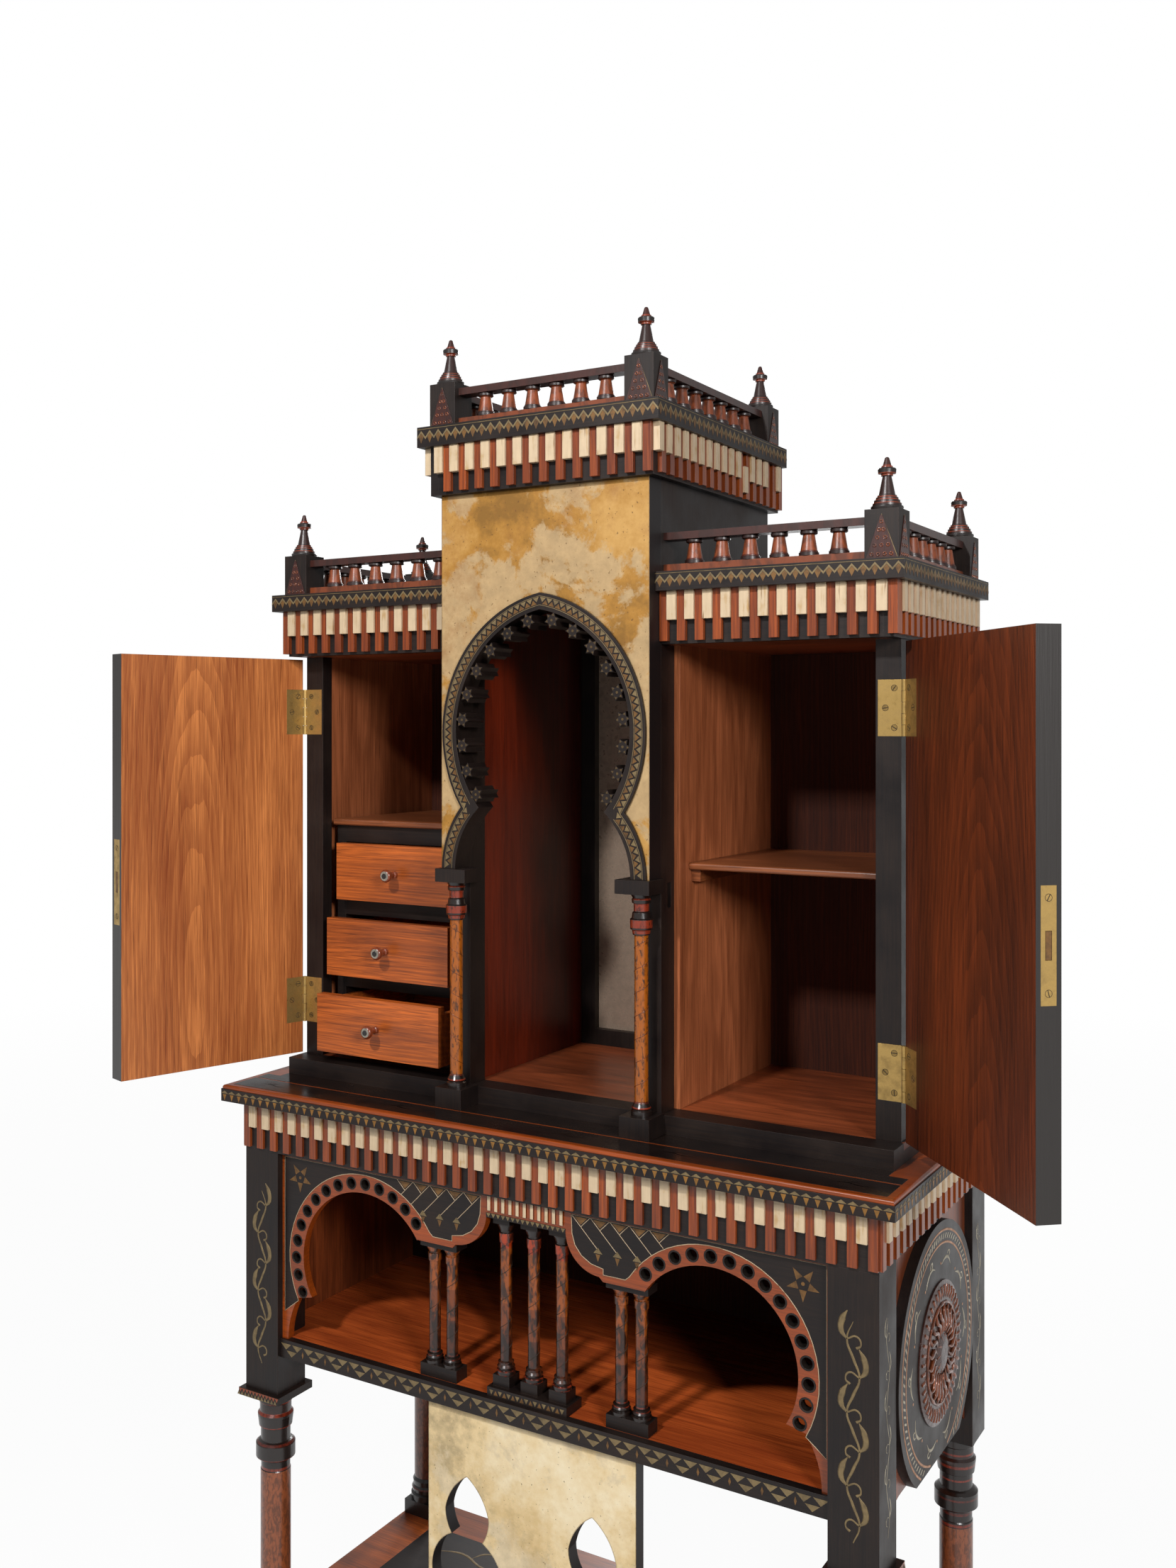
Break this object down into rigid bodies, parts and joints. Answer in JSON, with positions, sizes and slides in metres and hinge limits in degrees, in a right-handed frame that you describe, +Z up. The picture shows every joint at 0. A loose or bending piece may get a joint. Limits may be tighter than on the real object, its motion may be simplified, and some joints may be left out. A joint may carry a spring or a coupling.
{
  "type": "cabinet on stand",
  "caption": "Free-standing ebonised and inlaid cabinet on a stand, with a horseshoe-arched tower, two hinged doors, drawers behind one of them and an arcaded shelf below.",
  "frame": {"origin": "on the floor, at the centre of the case's footprint", "axes": "+X to the right along the front, +Y to the back, +Z up"},
  "size_m": [1.1913, 0.5846, 1.8835],
  "materials": {
    "ebonised_wood": "stained black and polished",
    "walnut": "polished figured walnut",
    "mahogany": "red-brown, oiled",
    "fruitwood": "orange-brown, polished",
    "bone": "aged bone blocks",
    "vellum": "parchment glued to a wooden board",
    "copper": "embossed copper, darkened",
    "brass": "worn brass",
    "mirror": "old silvered plate with foxing"
  },
  "bodies": {
    "cabinet": {"arcade_blocks": "ebonised_wood", "arcade_columns": "fruitwood", "arch_fascia": "fruitwood", "arch_frame": "fruitwood", "back_boards": "ebonised_wood", "balusters": "mahogany", "bone_dentils": "bone", "bottom_rail": "ebonised_wood", "cabinet_sides": "ebonised_wood", "carcass_boards": "walnut", "case_floor": "walnut", "case_posts": "ebonised_wood", "case_sides": "ebonised_wood", "centre_fret": "ebonised_wood", "column_blocks": "ebonised_wood", "cornice_boards": "ebonised_wood", "disc_bosses": "copper", "drawer_nest": "ebonised_wood", "feet": "ebonised_wood", "finials": "ebonised_wood", "frieze_boards": "ebonised_wood", "gallery_posts": "ebonised_wood", "gallery_rails": "mahogany", "hinge_pins": "brass", "impost_blocks": "mahogany", "leg_plates": "ebonised_wood", "mirror_plate": "mirror", "niche_frame": "ebonised_wood", "platform_border": "walnut", "platform_panel": "ebonised_wood", "plinth": "ebonised_wood", "red_dentils": "mahogany", "shelf_battens": "walnut", "shelves": "walnut", "side_discs": "ebonised_wood", "star_prisms": "fruitwood", "stile_hinge_leaves": "brass", "stile_screws": "brass", "stretcher_panel": "vellum", "table_edge": "ebonised_wood", "table_top": "fruitwood", "tower_columns": "fruitwood", "tower_walls": "ebonised_wood", "turned_legs": "mahogany", "vellum_front": "vellum", "wall_linings": "walnut"},
    "right_door": {"right_door": "walnut", "right_door_hinge_leaves": "brass", "right_lock_plate": "brass"},
    "right_lock_bolt": {"right_lock_bolt": "brass"},
    "left_door": {"left_door": "walnut", "left_door_hinge_leaves": "brass", "left_lock_plate": "brass"},
    "left_lock_bolt": {"left_lock_bolt": "brass"},
    "drawer_top": {"drawer_top": "walnut", "drawer_top_knob": "mahogany"},
    "drawer_middle": {"drawer_middle": "walnut", "drawer_middle_knob": "mahogany"},
    "drawer_bottom": {"drawer_bottom": "walnut", "drawer_bottom_knob": "mahogany"}
  },
  "joints": [
    {"name": "right_door_hinge", "type": "hinge", "parent": "cabinet", "child": "right_door", "pos_m": [0.4364, -0.09575, 1.19], "axis": [0, 0, 1], "range_deg": [-132, 43]},
    {"name": "left_door_hinge", "type": "hinge", "parent": "cabinet", "child": "left_door", "pos_m": [-0.4364, -0.09575, 1.19], "axis": [0, 0, -1], "range_deg": [-107, 68]},
    {"name": "right_lock_slide", "type": "slide", "parent": "right_door", "child": "right_lock_bolt", "axis": [0.6691, -0.7431, 0], "range_m": [0, 0.008]},
    {"name": "left_lock_slide", "type": "slide", "parent": "left_door", "child": "left_lock_bolt", "axis": [-0.2924, -0.9563, 0], "range_m": [0, 0.008]},
    {"name": "drawer_top_slide", "type": "slide", "parent": "cabinet", "child": "drawer_top", "axis": [0, -1, 0], "range_m": [-0.022, 0.01398]},
    {"name": "drawer_middle_slide", "type": "slide", "parent": "cabinet", "child": "drawer_middle", "axis": [0, -1, 0], "range_m": [-0.0435, 0.02765]},
    {"name": "drawer_bottom_slide", "type": "slide", "parent": "cabinet", "child": "drawer_bottom", "axis": [0, -1, 0], "range_m": [-0.065, 0.04131]}
  ],
  "couplings": [
    {"joint": "drawer_top_slide", "follows": "left_door_hinge", "m_per_rad": 0.01178},
    {"joint": "drawer_middle_slide", "follows": "left_door_hinge", "m_per_rad": 0.023293},
    {"joint": "drawer_bottom_slide", "follows": "left_door_hinge", "m_per_rad": 0.034806}
  ]
}
